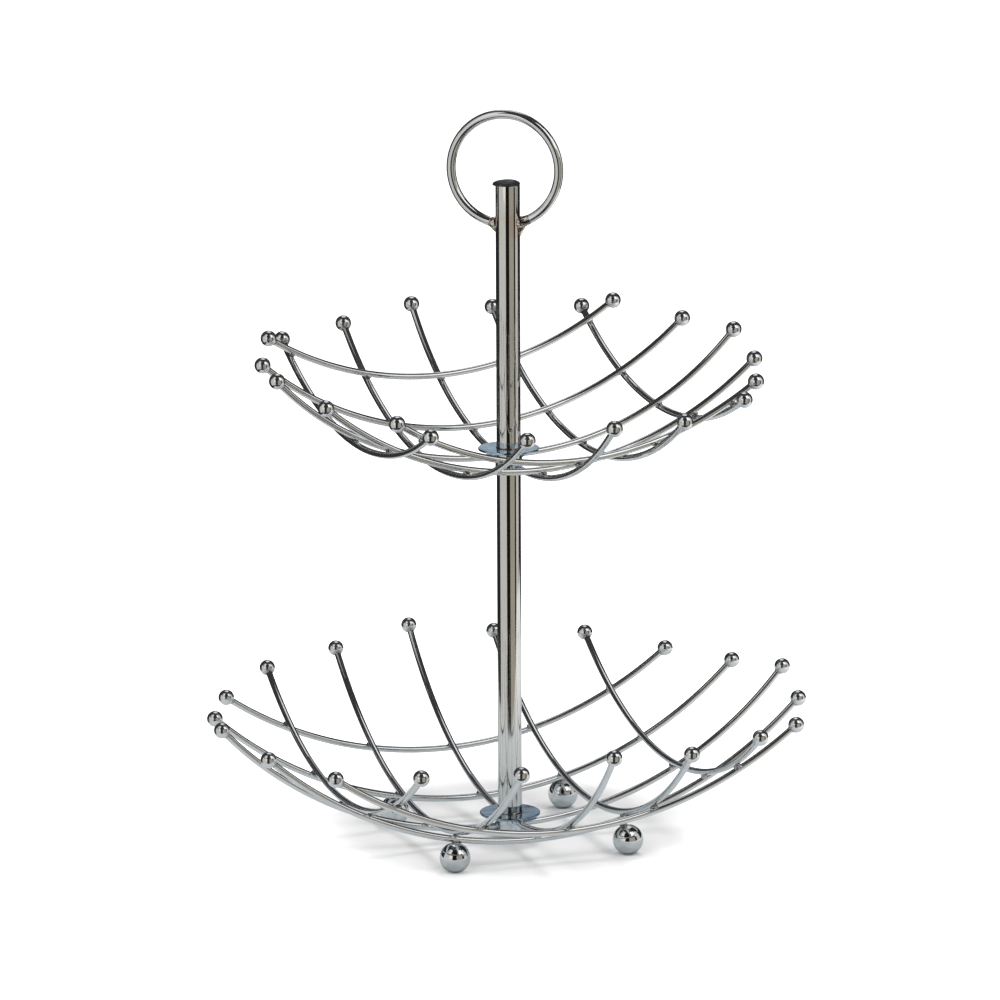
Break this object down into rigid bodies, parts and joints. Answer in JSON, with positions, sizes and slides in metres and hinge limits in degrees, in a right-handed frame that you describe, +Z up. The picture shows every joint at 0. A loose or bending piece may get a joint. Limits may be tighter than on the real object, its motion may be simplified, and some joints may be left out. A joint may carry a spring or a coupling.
{
  "type": "two-tier wire fruit basket",
  "caption": "Two-tier chrome wire fruit basket: bowls of bent ball-ended rods on a central tube, ball feet below and a carrying ring on top.",
  "frame": {"origin": "on the surface the feet stand on, on the column's axis", "axes": "+Z up along the column; the lower bowl's rods run along X and Y; -Y is the front, the side nearest the viewer"},
  "size_m": [0.3227, 0.3216, 0.3896],
  "materials": {
    "polished_chrome": "mirror-bright chrome plate on steel",
    "plain_steel": "zinc-plated hidden threads and inserts",
    "black_plastic": "satin black moulded plastic"
  },
  "bodies": {
    "root": {"back_left_foot": "polished_chrome", "back_right_foot": "polished_chrome", "base_screw": "plain_steel", "carrying_ring": "polished_chrome", "end_cap": "black_plastic", "front_left_foot": "polished_chrome", "front_right_foot": "polished_chrome", "joining_stud": "plain_steel", "lower_hub_plate": "polished_chrome", "lower_hub_sleeve": "polished_chrome", "lower_inner_half_rod_1": "polished_chrome", "lower_inner_half_rod_2": "polished_chrome", "lower_inner_rod_1": "polished_chrome", "lower_inner_rod_2": "polished_chrome", "lower_inner_rod_3": "polished_chrome", "lower_inner_rod_4": "polished_chrome", "lower_outer_half_rod_1": "polished_chrome", "lower_outer_half_rod_2": "polished_chrome", "lower_outer_rod_1": "polished_chrome", "lower_outer_rod_2": "polished_chrome", "lower_outer_rod_3": "polished_chrome", "lower_outer_rod_4": "polished_chrome", "lower_tube": "polished_chrome", "lower_tube_bottom_insert": "plain_steel", "lower_tube_top_insert": "plain_steel", "upper_hub_plate": "polished_chrome", "upper_hub_sleeve": "polished_chrome", "upper_inner_half_rod_1": "polished_chrome", "upper_inner_half_rod_2": "polished_chrome", "upper_inner_rod_1": "polished_chrome", "upper_inner_rod_2": "polished_chrome", "upper_inner_rod_3": "polished_chrome", "upper_inner_rod_4": "polished_chrome", "upper_outer_half_rod_1": "polished_chrome", "upper_outer_half_rod_2": "polished_chrome", "upper_outer_rod_1": "polished_chrome", "upper_outer_rod_2": "polished_chrome", "upper_outer_rod_3": "polished_chrome", "upper_outer_rod_4": "polished_chrome", "upper_tube": "polished_chrome", "upper_tube_insert": "plain_steel"}
  },
  "joints": []
}
